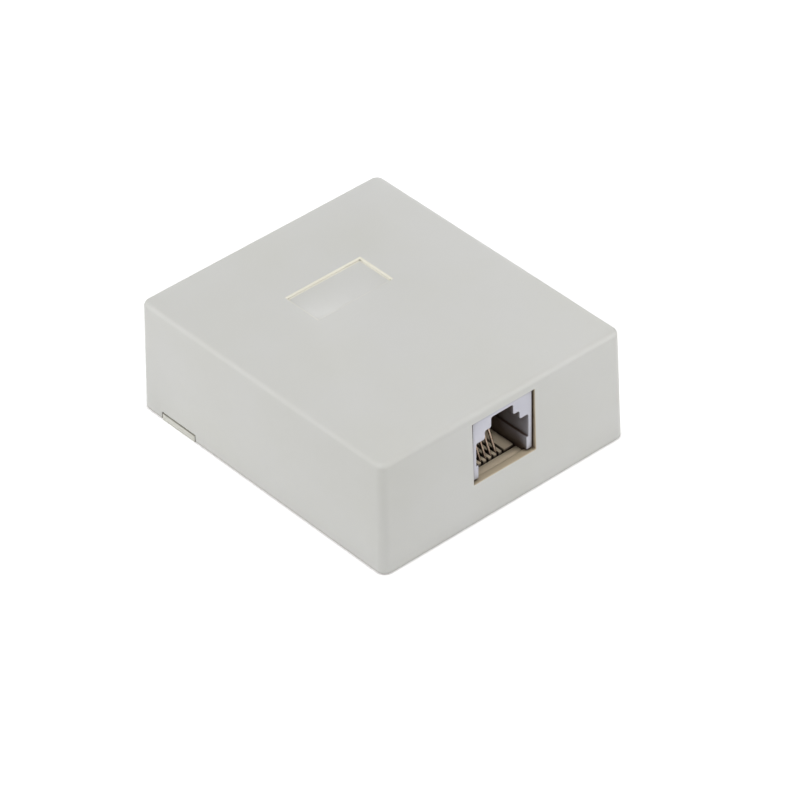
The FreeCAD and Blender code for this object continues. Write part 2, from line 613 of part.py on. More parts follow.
def build_contact_carrier():
    """The insert under the plug: a lip in front, and a comb of ribs with a wire between each two."""
    body = new_body("contact_carrier")

    slab = new_sketch(body, "slab_plan", "XY_Plane", CARRIER_BOTTOM)
    rectangle(slab, f"-{CARRIER_X}", CARRIER_X, JACK_SHOULDER, CARRIER_REAR)
    grow(body, slab, "slab", f"slot_floor_z - {CARRIER_BOTTOM}")
    upper = new_sketch(body, "upper_plan", "XY_Plane", CARRIER_BOTTOM)
    rectangle(upper, f"-{CARRIER_X}", CARRIER_X, JACK_SHOULDER, LIP_REAR)
    rectangle(upper, f"-{CARRIER_X}", CARRIER_X, COMB_FRONT, CARRIER_REAR)
    grow(body, upper, "lip_and_comb", f"comb_top_z - {CARRIER_BOTTOM}")
    front = value(JACK_SHOULDER)
    crest = value("comb_top_z")
    soften(body, "lip_edge", lambda e: all(near(v.Y, front) and near(v.Z, crest) for v in e.Vertexes),
           "lip_chamfer", "PartDesign::Chamfer")

    first = new_sketch(body, "first_slot", "XY_Plane", "comb_top_z")
    rectangle(first, "-contact_spacing * 2.5 - slot_width / 2", "-contact_spacing * 2.5 + slot_width / 2",
              f"{COMB_FRONT} - lip_gap / 2", COMB_REAR)
    slot = cut(body, first, "slot", "comb_top_z - slot_floor_z")
    repeat(body, [slot], "slots", "X_Axis", "contact_spacing * 5", 6)

    bores = new_sketch(body, "lead_bores", "XZ_Plane", f"-({CARRIER_REAR} + overcut)")
    for place_in_row in (-1.5, -0.5, 0.5, 1.5):
        eight_sided(bores, f"contact_spacing * {place_in_row}", WIRE_Z, "(lead_diameter + lead_gap)")
    cut(body, bores, "lead_bore_cuts", "overcut + slot_rear_web", back=True)
    return body


def build_contact_wire(number, place_in_row):
    """Along its slot, round the front bend, and up and back to a free end."""
    body = new_body("contact_wire_%d" % number)
    bend_y = f"({LIP_REAR} + lip_gap * 0.1 + wire_diameter / 2 + wire_bend)"
    bend_z = f"({WIRE_Z} + wire_bend)"
    turn_y = f"({bend_y} - wire_bend * sin(wire_rise))"
    turn_z = f"({bend_z} + wire_bend * cos(wire_rise))"
    end_y = f"({turn_y} + ({WIRE_END} - {turn_z}) / tan(wire_rise))"
    path = new_sketch(body, "wire_path_%d" % number, "YZ_Plane")
    bent_path(path, [(LEAD_START, WIRE_Z), (bend_y, WIRE_Z), (turn_y, turn_z), (end_y, WIRE_END)],
              (bend_y, bend_z), "wire_bend", False)
    section = new_sketch(body, "wire_section_%d" % number, "XZ_Plane", f"-{LEAD_START}")
    eight_sided(section, "0", WIRE_Z, "wire_diameter")
    swept(body, path, section, "wire_%d" % number)
    place(body, x=f"contact_spacing * {place_in_row}")
    return body


# ---------------------------------------------------------------- leads and terminals


def build_lead(number, place_in_row, post_y):
    """From the carrier straight back, then round towards its terminal and into the lug's barrel."""
    body = new_body("lead_%d" % number)
    side = "" if place_in_row > 0 else "-"
    start_x = f"contact_spacing * {abs(place_in_row)}"
    end_x = f"({POST_X} - {start_x} - (barrel_start + lead_gap) * sin(lug_angle))"
    end_y = f"({post_y} - {LEAD_START} - (barrel_start + lead_gap) * cos(lug_angle))"
    turn_x = "(lead_bend * (1 - cos(lug_angle)))"
    turn_y = f"({end_y} - ({end_x} - {turn_x}) / tan(lug_angle))"
    run = f"({turn_y} - lead_bend * sin(lug_angle))"
    path = new_sketch(body, "lead_path_%d" % number, "XY_Plane")
    bent_path(path, [("0", "0"), ("0", run), (side + turn_x, turn_y), (side + end_x, end_y)],
              (f"{side}lead_bend", run), "lead_bend", side == "-")
    section = new_sketch(body, "lead_section_%d" % number, "XZ_Plane")
    eight_sided(section, "0", "0", "lead_diameter")
    length = swept(body, path, section, "lead_pipe_%d" % number)
    place(body, f"{side}{start_x}", LEAD_START, WIRE_Z)
    print("lead %d: %.1f mm long, bend %.1f mm" % (number, length, value("lead_bend")))
    return body


def build_spade_lug(number, side, post_y):
    """A flat fork round the screw and a rolled barrel round the end of the lead."""
    body = new_body("spade_lug_%d" % number)
    fork = new_sketch(body, "fork_outline_%d" % number, "XY_Plane")
    circle(fork, "0", "0", "lug_width / 2")
    grow(body, fork, "fork_%d" % number, "lug_thickness")
    neck = new_sketch(body, "neck_outline_%d" % number, "XY_Plane")
    rectangle(neck, "lug_width / 4", f"barrel_start + {BARREL_RADIUS} / 2", "-lug_neck / 2", "lug_neck / 2")
    grow(body, neck, "neck_%d" % number, "lug_thickness")
    axis_z = f"({WIRE_Z} - {NUT_TOP})"
    barrel = new_sketch(body, "barrel_outline_%d" % number, "YZ_Plane", "barrel_start")
    circle(barrel, "0", axis_z, BARREL_RADIUS)
    grow(body, barrel, "barrel_%d" % number, "barrel_length")
    mouth = new_sketch(body, "barrel_bore_%d" % number, "YZ_Plane", "barrel_start + barrel_length + overcut")
    circle(mouth, "0", axis_z, "lead_diameter / 2 + lead_gap")
    cut(body, mouth, "barrel_bore_cut_%d" % number, "barrel_length + overcut")
    gap = new_sketch(body, "fork_gap_%d" % number, "XY_Plane", "lug_thickness")
    circle(gap, "0", "0", "washer_hole / 2")
    cut(body, gap, "fork_eye_%d" % number, "lug_thickness")
    jaw = new_sketch(body, "fork_jaw_%d" % number, "XY_Plane", "lug_thickness")
    rectangle(jaw, "-lug_width / 2 - overcut", "0", "-washer_hole / 2", "washer_hole / 2")
    cut(body, jaw, "fork_jaw_cut_%d" % number, "lug_thickness")
    turn = "270 - lug_angle" if side > 0 else "lug_angle - 90"
    place(body, f"{POST_X} * {side}", post_y, NUT_TOP, turn)
    return body


def build_nut_plate(number, side, post_y):
    body = new_body("terminal_nut_%d" % number)
    plate = new_sketch(body, "nut_outline_%d" % number, "XY_Plane")
    centred(plate, "0", "0", "nut_size", "nut_size")
    circle(plate, "0", "0", "screw_diameter / 2 + screw_gap")
    grow(body, plate, "nut_%d" % number, "nut_thickness")
    place(body, f"{POST_X} * {side}", post_y, "post_top_z - nut_sink")
    return body


def build_washer(number, side, post_y):
    body = new_body("terminal_washer_%d" % number)
    ring = new_sketch(body, "washer_outline_%d" % number, "XY_Plane")
    circle(ring, "0", "0", "washer_diameter / 2")
    circle(ring, "0", "0", "washer_hole / 2")
    grow(body, ring, "washer_%d" % number, "washer_thickness")
    place(body, f"{POST_X} * {side}", post_y, LUG_TOP)
    return body


def build_screw(number, side, post_y):
    """A pan head with slot and cross, on a plain shank that stands in for its thread."""
    body = new_body("terminal_screw_%d" % number)
    shank = new_sketch(body, "shank_%d" % number, "XY_Plane")
    circle(shank, "0", "0", "screw_diameter / 2")
    grow(body, shank, "shank_pad_%d" % number, "screw_length", back=True)
    head = new_sketch(body, "head_%d" % number, "XY_Plane")
    circle(head, "0", "0", "head_diameter / 2")
    grow(body, head, "head_pad_%d" % number, "head_height")
    crown = value("head_height")
    soften(body, "head_crown_%d" % number, lambda e: all(near(v.Z, crown) for v in e.Vertexes),
           "head_height / 3", "PartDesign::Chamfer")
    drive = new_sketch(body, "drive_%d" % number, "XY_Plane", "head_height")
    rectangle(drive, "-head_diameter / 2 - overcut", "head_diameter / 2 + overcut",
              "-drive_width / 2", "drive_width / 2")
    cut(body, drive, "slot_%d" % number, "drive_depth")
    cross = new_sketch(body, "cross_%d" % number, "XY_Plane", "head_height")
    rectangle(cross, "-drive_width / 2", "drive_width / 2", "-head_diameter / 3", "head_diameter / 3")
    cut(body, cross, "cross_cut_%d" % number, "drive_depth")
    place(body, f"{POST_X} * {side}", post_y, WASHER_TOP)
    return body


# ---------------------------------------------------------------- assembly

CONTACTS = [(1, -1.5, "front_post_y"), (2, -0.5, "rear_post_y"),
            (3, 0.5, "rear_post_y"), (4, 1.5, "front_post_y")]

parts = [build_cover(), build_base_plate(), build_jack_housing(), build_contact_carrier()]
for number, place_in_row, post_y in CONTACTS:
    side = 1 if place_in_row > 0 else -1
    parts.append(build_contact_wire(number, place_in_row))
    parts.append(build_lead(number, place_in_row, post_y))
    parts.append(build_spade_lug(number, side, post_y))
    parts.append(build_nut_plate(number, side, post_y))
    parts.append(build_washer(number, side, post_y))
    parts.append(build_screw(number, side, post_y))
doc.recompute()

# ---------------------------------------------------------------- checks and files

for thing in doc.Objects:
    if {"Invalid", "Error"} & set(thing.State):
        raise ValueError("%s failed: %s" % (thing.Name, thing.State))
for part in parts:
    if part.Shape.isNull() or not part.Shape.isValid() or len(part.Shape.Solids) != 1:
        raise ValueError("%s is not one sound solid" % part.Label)

os.makedirs("parts", exist_ok=True)
for part in parts:
    part.Shape.exportStep("parts/%s.step" % part.Label)
    print("%-20s %8.1f mm3" % (part.Label, part.Shape.Volume))
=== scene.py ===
# %% [markdown]
# # Surface mount jack box
# A small telephone outlet: a drafted ivory cover over a base plate, a white modular socket in
# one face, and four screw terminals inside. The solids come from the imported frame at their
# real size. This file adds the camera, the light, every finish and the fine forms.

# %% Load the frame
import bpy
import bmesh
import json
import math
from mathutils import Vector, Matrix


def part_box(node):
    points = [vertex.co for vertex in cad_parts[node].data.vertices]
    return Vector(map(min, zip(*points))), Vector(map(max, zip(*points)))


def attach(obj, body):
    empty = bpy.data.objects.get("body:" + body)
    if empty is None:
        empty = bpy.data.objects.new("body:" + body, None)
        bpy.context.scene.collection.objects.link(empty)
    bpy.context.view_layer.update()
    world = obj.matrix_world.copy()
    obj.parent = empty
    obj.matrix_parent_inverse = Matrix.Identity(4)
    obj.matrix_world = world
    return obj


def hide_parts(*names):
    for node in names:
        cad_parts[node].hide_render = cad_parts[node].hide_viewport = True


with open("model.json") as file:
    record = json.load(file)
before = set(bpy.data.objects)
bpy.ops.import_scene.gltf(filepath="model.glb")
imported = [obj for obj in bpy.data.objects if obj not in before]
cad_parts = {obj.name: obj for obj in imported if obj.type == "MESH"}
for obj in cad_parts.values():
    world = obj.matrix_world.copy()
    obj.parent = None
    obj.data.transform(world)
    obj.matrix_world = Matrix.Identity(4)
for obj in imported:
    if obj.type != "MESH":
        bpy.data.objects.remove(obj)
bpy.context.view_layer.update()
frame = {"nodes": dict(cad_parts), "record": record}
MM = 0.001
LABEL_SINK = 0.5

# %% [markdown]
# ## Camera
# The box is seen from in front and to the left, from well above, through a long lens, so its
# edges stay nearly parallel. The camera sits on a ray from the middle of the underside. It is
# turned with three vectors: back (towards the eye), right and up, and then rolled a little. A
# small shift slides the frame without turning the camera.

# %% Camera
CAMERA_TURN = math.radians(-40.45)
CAMERA_LIFT = math.radians(38.64)
CAMERA_ROLL = math.radians(-1.68)
CAMERA_DISTANCE = 734.4 * MM

back = Vector((math.sin(CAMERA_TURN) * math.cos(CAMERA_LIFT),
               -math.cos(CAMERA_TURN) * math.cos(CAMERA_LIFT),
               math.sin(CAMERA_LIFT)))
level = Vector((0, 0, 1)).cross(back).normalized()
rise = back.cross(level)
right = level * math.cos(CAMERA_ROLL) + rise * math.sin(CAMERA_ROLL)
up = rise * math.cos(CAMERA_ROLL) - level * math.sin(CAMERA_ROLL)

bpy.ops.object.camera_add(location=back * CAMERA_DISTANCE)
camera = bpy.context.object
camera.name = "camera"
camera.rotation_euler = Matrix((right, up, back)).transposed().to_euler()
camera.data.lens = 220.0
camera.data.sensor_width = 36.0
camera.data.shift_x = 0.0220
camera.data.shift_y = 0.0256
camera.data.clip_start = 0.01
bpy.context.scene.camera = camera
bpy.context.scene.view_settings.view_transform = "Standard"
print("camera at", [round(c, 3) for c in camera.location])

# %% [markdown]
# ## Floor and light
# The box stands on a white floor in a light tent, with a faint white sky that fills the
# shadows. One softbox hangs overhead. Two stand high on the left and in front: the rounded
# edges of the roof face them more squarely than the flat faces do, so they come out a little
# brighter. Two small ones stand low and close, so each wall fades along its length, and a last
# one lights the sides turned away. The floor looks white to the camera and still darkens where
# the box stands on it. It lies a hair below the box, so that the floor and the underside of the
# box don't share one plane.

# %% Floor and light
def node_tree(owner):
    """The cleared node tree of a material or a world."""
    owner.use_nodes = True
    owner.node_tree.nodes.clear()
    return owner.node_tree


def seen_directly(tree):
    """1 for rays that show the surface itself: camera, mirror and see-through rays."""
    path = tree.nodes.new("ShaderNodeLightPath")
    total = path.outputs["Is Camera Ray"]
    for name in ("Is Glossy Ray", "Is Transmission Ray"):
        either = tree.nodes.new("ShaderNodeMath")
        either.operation = "MAXIMUM"
        tree.links.new(total, either.inputs[0])
        tree.links.new(path.outputs[name], either.inputs[1])
        total = either.outputs[0]
    return total


SKY_LEVEL = 0.12
FLOOR_GLOW = 0.40
FLOOR_DROP = 0.05 * MM
world = bpy.data.worlds.new("light_tent")
bpy.context.scene.world = world
tree = node_tree(world)
out = tree.nodes.new("ShaderNodeOutputWorld")
sky = tree.nodes.new("ShaderNodeBackground")
sky.inputs["Color"].default_value = (1.0, 1.0, 1.0, 1.0)
sky.inputs["Strength"].default_value = SKY_LEVEL
white = tree.nodes.new("ShaderNodeBackground")
white.inputs["Color"].default_value = (1.0, 1.0, 1.0, 1.0)
white.inputs["Strength"].default_value = 1.0
either = tree.nodes.new("ShaderNodeMixShader")
tree.links.new(seen_directly(tree), either.inputs["Fac"])
tree.links.new(sky.outputs[0], either.inputs[1])
tree.links.new(white.outputs[0], either.inputs[2])
tree.links.new(either.outputs[0], out.inputs["Surface"])

bpy.ops.object.select_all(action="DESELECT")
bpy.ops.mesh.primitive_plane_add(size=6.0, location=(0, 0, -FLOOR_DROP))
floor = bpy.context.object
floor.name = "floor"
floor_finish = bpy.data.materials.new("white_floor")
tree = node_tree(floor_finish)
out = tree.nodes.new("ShaderNodeOutputMaterial")
paint = tree.nodes.new("ShaderNodeBsdfDiffuse")
paint.inputs["Color"].default_value = (0.94, 0.94, 0.94, 1.0)
glow = tree.nodes.new("ShaderNodeEmission")
level = tree.nodes.new("ShaderNodeMath")
level.operation = "MULTIPLY"
level.inputs[1].default_value = FLOOR_GLOW
tree.links.new(seen_directly(tree), level.inputs[0])
tree.links.new(level.outputs[0], glow.inputs["Strength"])
both = tree.nodes.new("ShaderNodeAddShader")
tree.links.new(paint.outputs[0], both.inputs[0])
tree.links.new(glow.outputs[0], both.inputs[1])
tree.links.new(both.outputs[0], out.inputs["Surface"])
floor.data.materials.append(floor_finish)


def softbox(name, place, size, power):
    """A square area lamp at a place, aimed at the middle of the box."""
    bpy.ops.object.light_add(type="AREA", location=place)
    lamp = bpy.context.object
    lamp.name = name
    lamp.data.size = size
    lamp.data.energy = power
    aim = Vector((0, 0, 0.01)) - Vector(place)
    lamp.rotation_euler = aim.to_track_quat("-Z", "Y").to_euler()


# Name, place, width and power. The two small ones stand close, so they need little power.
SOFTBOXES = (
    ("overhead", (0.0, 0.0, 0.90), 0.40, 2.05),
    ("left_high", (-0.525, 0.0, 0.462), 0.30, 1.62),
    ("front_high", (0.0, -0.525, 0.462), 0.30, 1.14),
    ("left_low", (-0.16, 0.14, 0.09), 0.10, 0.086),
    ("right_low", (0.15, -0.15, 0.10), 0.10, 0.116),
    ("back_low", (0.48, 0.50, 0.14), 0.30, 0.8),
)
for light in SOFTBOXES:
    softbox(*light)
print("sky", SKY_LEVEL, "and", len(SOFTBOXES), "soft lights")

# %% [markdown]
# ## Finishes
# Every finish is made of noise at a real scale, read from Object coordinates in metres. A
# moulded plastic has a grain from the spark-worn mould, about a fifth of a millimetre wide. Its
# colour wanders a little over centimetres, and its gloss a little over millimetres.

# %% Building blocks for finishes
def srgb(red, green, blue):
    """A colour given as it shows on a screen, 0 to 255, made linear."""
    def linear(c):
        c = c / 255.0
        return c / 12.92 if c <= 0.04045 else ((c + 0.055) / 1.055) ** 2.4
    return (linear(red), linear(green), linear(blue), 1.0)


def new_finish(name):
    """A material with one Principled shader, and its coordinates in metres."""
    material = bpy.data.materials.new(name)
    tree = node_tree(material)
    out = tree.nodes.new("ShaderNodeOutputMaterial")
    shader = tree.nodes.new("ShaderNodeBsdfPrincipled")
    place = tree.nodes.new("ShaderNodeTexCoord").outputs["Object"]
    tree.links.new(shader.outputs[0], out.inputs["Surface"])
    return material, tree, shader, place


def noise(tree, place, size, detail=2.0, stretch=None):
    """Soft noise whose blotches are about size metres wide."""
    if stretch:
        mapping = tree.nodes.new("ShaderNodeMapping")
        mapping.inputs["Scale"].default_value = stretch
        tree.links.new(place, mapping.inputs["Vector"])
        place = mapping.outputs[0]
    texture = tree.nodes.new("ShaderNodeTexNoise")
    texture.inputs["Scale"].default_value = 1.0 / size
    texture.inputs["Detail"].default_value = detail
    tree.links.new(place, texture.inputs["Vector"])
    return texture.outputs["Fac"]


def ranged(tree, value, low, high, start=0.3, end=0.7):
    """A noise value spread from low to high."""
    spread = tree.nodes.new("ShaderNodeMapRange")
    spread.inputs["From Min"].default_value = start
    spread.inputs["From Max"].default_value = end
    spread.inputs["To Min"].default_value = low
    spread.inputs["To Max"].default_value = high
    tree.links.new(value, spread.inputs["Value"])
    return spread.outputs["Result"]


def two_tone(tree, value, first, second):
    """A colour between two, by a value from 0 to 1."""
    mix = tree.nodes.new("ShaderNodeMix")
    mix.data_type = "RGBA"
    mix.inputs["A"].default_value = first
    mix.inputs["B"].default_value = second
    tree.links.new(value, mix.inputs["Factor"])
    return mix.outputs["Result"]


def bump(tree, shader, value, height):
    """Relief of a height in metres, added over any relief that is there."""
    relief = tree.nodes.new("ShaderNodeBump")
    relief.inputs["Strength"].default_value = 1.0
    relief.inputs["Distance"].default_value = height
    tree.links.new(value, relief.inputs["Height"])
    normal = shader.inputs["Normal"]
    if normal.is_linked:
        tree.links.new(normal.links[0].from_socket, relief.inputs["Normal"])
    tree.links.new(relief.outputs["Normal"], normal)


# %% [markdown]
# ### Moulded plastics
# The cover and base are satin ABS. The cover is a cool ivory grey, and the base plate is a
# little warmer. The socket housing is a smoother, cooler white nylon, and the insert under the
# plug is a beige ivory nylon. Each colour is mixed towards a brown by how enclosed the spot is:
# that is painted shade in corners and hollows, standing in for light that bounces between
# ivory walls and comes out browner.

# %% Moulded plastics
def painted_hollow_shade(tree, colour, shade_brown, reach, closed, open_at):
    """Painted shade: a colour that turns browner in hollows up to a reach, in metres.

    It is all the shade brown where the openness is closed or less, and all colour from open_at on.
    """
    hollow = tree.nodes.new("ShaderNodeAmbientOcclusion")
    hollow.samples = 12
    hollow.inputs["Distance"].default_value = reach
    openness = ranged(tree, hollow.outputs["AO"], 0.0, 1.0, closed, open_at)
    mix = tree.nodes.new("ShaderNodeMix")
    mix.data_type = "RGBA"
    mix.inputs["A"].default_value = shade_brown
    tree.links.new(openness, mix.inputs["Factor"])
    tree.links.new(colour, mix.inputs["B"])
    return mix.outputs["Result"]


def moulded(name, colour, drift, gloss, grain, height, hollow):
    """Satin moulded plastic: drift of colour and gloss, mould grain, and painted shade that browns
    the hollows.
    """
    material, tree, shader, place = new_finish(name)
    wander = ranged(tree, noise(tree, place, 14 * MM, 3.0), 0.0, 1.0)
    base = two_tone(tree, wander, srgb(*colour), srgb(*drift))
    tree.links.new(painted_hollow_shade(tree, base, *hollow), shader.inputs["Base Color"])
    rough = ranged(tree, noise(tree, place, 2.2 * MM, 3.0), gloss - 0.05, gloss + 0.05)
    tree.links.new(rough, shader.inputs["Roughness"])
    shader.inputs["IOR"].default_value = 1.49
    bump(tree, shader, noise(tree, place, grain, 2.0), height)
    bump(tree, shader, noise(tree, place, 3.5 * MM, 1.0), height * 1.5)
    return material


# The last entry of each plastic is painted shade for its hollows: the shade brown, its reach, and
# the openness at which the shade is full and at which it ends.
finish = {
    "cover_ivory": moulded("cover_ivory", (209, 209, 206), (207, 207, 202), 0.42, 0.22 * MM,
                           0.006 * MM, (srgb(84, 62, 40), 1.5 * MM, 0.12, 0.72)),
    # The recess walls: paler than the cover, a painted highlight, and glossier.
    "cover_rim_painted_highlight": moulded("cover_rim_painted_highlight", (236, 233, 219), (232, 228, 212), 0.30, 0.22 * MM,
                         0.003 * MM, (srgb(96, 84, 60), 0.5 * MM, 0.48, 0.80)),
    # The window walls: browner than the cover, painted shade.
    "cover_mouth_painted_shade": moulded("cover_mouth_painted_shade", (206, 191, 166), (200, 184, 157), 0.46, 0.22 * MM,
                           0.006 * MM, (srgb(52, 34, 20), 0.8 * MM, 0.38, 0.94)),
    "base_ivory": moulded("base_ivory", (216, 215, 207), (211, 210, 200), 0.46, 0.22 * MM,
                          0.006 * MM, (srgb(96, 84, 58), 1.5 * MM, 0.05, 0.55)),
    # The housing and the insert get painted shade deep into the socket, which reads as its dark
    # inside.
    "jack_white": moulded("jack_white", (204, 204, 214), (200, 200, 210), 0.34, 0.12 * MM,
                          0.002 * MM, (srgb(78, 62, 50), 10.0 * MM, 0.50, 0.92)),
    "carrier_ivory": moulded("carrier_ivory", (238, 222, 196), (230, 214, 187), 0.40, 0.12 * MM,
                             0.002 * MM, (srgb(44, 30, 18), 3.0 * MM, 0.22, 0.68)),
}
print("plastics:", sorted(finish))

# %% [markdown]
# ### Metals
# The spring contacts are gold plated, drawn along their length. The nuts are plain brass, the
# lugs are tinned brass and the screws are zinc plated: each has fine marks and some dulling.
# Each is darkened in its hollows by painted shade.

# %% Metals
def plated(name, colour, dull, gloss, marks, hollow):
    """Plated metal: dull patches, fine marks, a varying gloss and painted shade that darkens the
    hollows.
    """
    material, tree, shader, place = new_finish(name)
    patches = ranged(tree, noise(tree, place, 1.4 * MM, 4.0), 0.0, 1.0, 0.35, 0.75)
    base = two_tone(tree, patches, srgb(*colour), srgb(*dull))
    tree.links.new(painted_hollow_shade(tree, base, *hollow), shader.inputs["Base Color"])
    shader.inputs["Metallic"].default_value = 1.0
    rough = ranged(tree, noise(tree, place, 0.5 * MM, 3.0), gloss - 0.07, gloss + 0.10)
    tree.links.new(rough, shader.inputs["Roughness"])
    bump(tree, shader, noise(tree, place, 0.25 * MM, 3.0, marks), 0.003 * MM)
    return material


ALONG_Y = (6.0, 0.6, 6.0)
# The dark colour of painted shade in the hollows of the lugs, nuts and screws.
PAINTED_METAL_SHADE = srgb(60, 48, 34)
# The contacts get painted shade that darkens them where they lie deep in their slots.
finish["contact_gold"] = plated("contact_gold", (216, 194, 174), (190, 166, 144), 0.28, ALONG_Y,
                                (srgb(52, 38, 28), 7.0 * MM, 0.36, 0.92))
finish["tinned_brass"] = plated("tinned_brass", (214, 212, 206), (188, 184, 172), 0.36,
                                (3.0, 3.0, 3.0), (PAINTED_METAL_SHADE, 0.8 * MM, 0.0, 0.6))
finish["brass"] = plated("brass", (214, 184, 112), (184, 150, 84), 0.32, (5.0, 0.8, 5.0),
                         (PAINTED_METAL_SHADE, 0.8 * MM, 0.0, 0.6))
finish["zinc_steel"] = plated("zinc_steel", (206, 208, 212), (176, 180, 184), 0.28,
                              (4.0, 4.0, 4.0), (PAINTED_METAL_SHADE, 0.8 * MM, 0.0, 0.6))

# %% [markdown]
# ### Leads
# The insulation is smooth soft PVC with a slight sheen, in the four usual colours.

# %% Leads
def insulation(name, colour, shade):
    """Soft PVC: a slow drift of colour and a gentle waviness."""
    material, tree, shader, place = new_finish(name)
    drift = ranged(tree, noise(tree, place, 3.0 * MM, 2.0), 0.0, 1.0)
    tree.links.new(two_tone(tree, drift, srgb(*colour), srgb(*shade)), shader.inputs["Base Color"])
    rough = ranged(tree, noise(tree, place, 0.8 * MM, 2.0), 0.36, 0.50)
    tree.links.new(rough, shader.inputs["Roughness"])
    bump(tree, shader, noise(tree, place, 0.6 * MM, 1.0), 0.01 * MM)
    return material


finish["lead_black"] = insulation("lead_black", (38, 38, 40), (28, 28, 30))
finish["lead_red"] = insulation("lead_red", (180, 36, 32), (160, 28, 26))
finish["lead_green"] = insulation("lead_green", (36, 124, 62), (28, 106, 52))
finish["lead_yellow"] = insulation("lead_yellow", (226, 194, 54), (212, 178, 44))
LEAD_SLOTS = ("lead_black", "lead_red", "lead_green", "lead_yellow")
print("finishes:", len(finish))

# %% [markdown]
# ## First forms
# Every new piece starts as a plain block or rod at its real size and place, as bar stock does.
# Its place, turn and scale go into the mesh at once, so that later sizes are true millimetres.

# %% First forms
def clear():
    """Leave edit mode and deselect everything."""
    if bpy.context.object and bpy.context.object.mode != "OBJECT":
        bpy.ops.object.mode_set(mode="OBJECT")
    bpy.ops.object.select_all(action="DESELECT")


def take(piece):
    """Make a piece the only selected one, and the active one."""
    clear()
    piece.select_set(True)
    bpy.context.view_layer.objects.active = piece
    return piece


def settle(piece):
    """Put the piece's place, turn and scale into its mesh."""
    take(piece)
    bpy.ops.object.transform_apply(location=True, rotation=True, scale=True)
    return piece


def box_between(name, low, high):
    """A box between two corners, given in millimetres."""
    clear()
    middle = [(a + b) / 2 * MM for a, b in zip(low, high)]
    bpy.ops.mesh.primitive_cube_add(size=1.0, location=middle)
    piece = bpy.context.object
    piece.name = name
    piece.scale = [(b - a) * MM for a, b in zip(low, high)]
    return settle(piece)


def rod(name, place, radius, depth, sides=48, axis="Z"):
    """A cylinder whose middle is at a place, in millimetres."""
    clear()
    turn = {"X": (0, math.pi / 2, 0), "Y": (math.pi / 2, 0, 0), "Z": (0, 0, 0)}[axis]
    bpy.ops.mesh.primitive_cylinder_add(vertices=sides, radius=radius * MM, depth=depth * MM,
                                        location=[c * MM for c in place], rotation=turn)
    piece = bpy.context.object
    piece.name = name
    return settle(piece)


print("first forms: box_between, rod")

# %% [markdown]
# ## Picking and rounding edges
# Edges are picked by what they are, such as upright, or lying at one height, and never by
# number. The same test then still finds them when a size changes.

# %% Picking and rounding edges
def pick(piece, test, kind="EDGE"):
    """Enter edit mode with the edges, faces or corners selected that pass a test."""
    take(piece)
    bpy.ops.object.mode_set(mode="EDIT")
    bpy.ops.mesh.select_mode(type=kind)
    bpy.ops.mesh.select_all(action="DESELECT")
    shape = bmesh.from_edit_mesh(piece.data)
    group = {"EDGE": shape.edges, "FACE": shape.faces, "VERT": shape.verts}[kind]
    chosen = [item for item in group if test(item)]
    for item in chosen:
        item.select_set(True)
    shape.select_flush_mode()
    bmesh.update_edit_mesh(piece.data)
    return len(chosen)


def round_edges(piece, test, size, steps):
    """Bevel the edges that pass a test."""
    count = pick(piece, test)
    if count:
        bpy.ops.mesh.bevel(offset=size * MM, segments=steps, affect="EDGES")
    bpy.ops.object.mode_set(mode="OBJECT")
    return count


def run_of(edge):
    """An edge's direction, as a unit vector."""
    return (edge.verts[1].co - edge.verts[0].co).normalized()


def upright(edge):
    """True for an edge that stands up, or nearly."""
    return abs(run_of(edge).z) > 0.9


def all_at(item, axis, place):
    """True if every corner of an edge or face has this coordinate, in millimetres."""
    return all(abs(v.co[axis] - place * MM) < 0.01 * MM for v in item.verts)


print("tests for edges: upright, all_at")

# %% [markdown]
# ## Cutting and joining
# Openings are cut with the block or rod that has their form, as an end mill or a mould core
# would make them. The cutter is used up.

# %% Cutting and joining
def combine(piece, other, how):
    """Cut, join or meet a piece with another, which is used up."""
    take(piece)
    step = piece.modifiers.new("combine", "BOOLEAN")
    step.operation = how
    step.solver = "EXACT"
    step.object = other
    bpy.ops.object.modifier_apply(modifier=step.name)
    bpy.data.objects.remove(other, do_unlink=True)
    return piece


def cut(piece, *cutters):
    """Take other pieces out of a piece."""
    for cutter in cutters:
        combine(piece, cutter, "DIFFERENCE")
    return piece


def join(piece, *others):
    """Make one piece of several."""
    for other in others:
        combine(piece, other, "UNION")
    return piece


print("tools: cut, join")

# %% [markdown]
# ## Easing the edges
# No moulded or stamped edge is knife sharp. When all cuts are made, the scraps of flat face that
# they leave are merged, and every sharp edge is rounded at once.

# %% Easing the edges
def tidy_faces(piece):
    """Merge doubled corners, and flat faces that lie in one plane."""
    take(piece)
    bpy.ops.object.mode_set(mode="EDIT")
    bpy.ops.mesh.select_all(action="SELECT")
    bpy.ops.mesh.remove_doubles(threshold=0.002 * MM)
    bpy.ops.mesh.dissolve_limited(angle_limit=math.radians(1.0))
    bpy.ops.object.mode_set(mode="OBJECT")
    return piece


def ease(piece, size, steps=2, angle=35.0):
    """Round every edge sharper than an angle, as a moulded or stamped piece is."""
    take(piece)
    step = piece.modifiers.new("ease", "BEVEL")
    step.width = size * MM
    step.segments = steps
    step.limit_method = "ANGLE"
    step.angle_limit = math.radians(angle)
    step.use_clamp_overlap = True
    step.harden_normals = False
    bpy.ops.object.modifier_apply(modifier=step.name)
    return piece


def smooth(piece, angle=30.0):
    """Smooth shading that keeps edges sharper than an angle."""
    take(piece)
    bpy.ops.object.shade_smooth_by_angle(angle=math.radians(angle))
    return piece


print("tools: tidy_faces, ease, smooth")

# %% [markdown]
# ## Handing a piece over
# A piece that occurs several times is made once and copied. A finished piece then gets its
# finish, rides on a body of the frame, and stands for the solids that it replaces there.

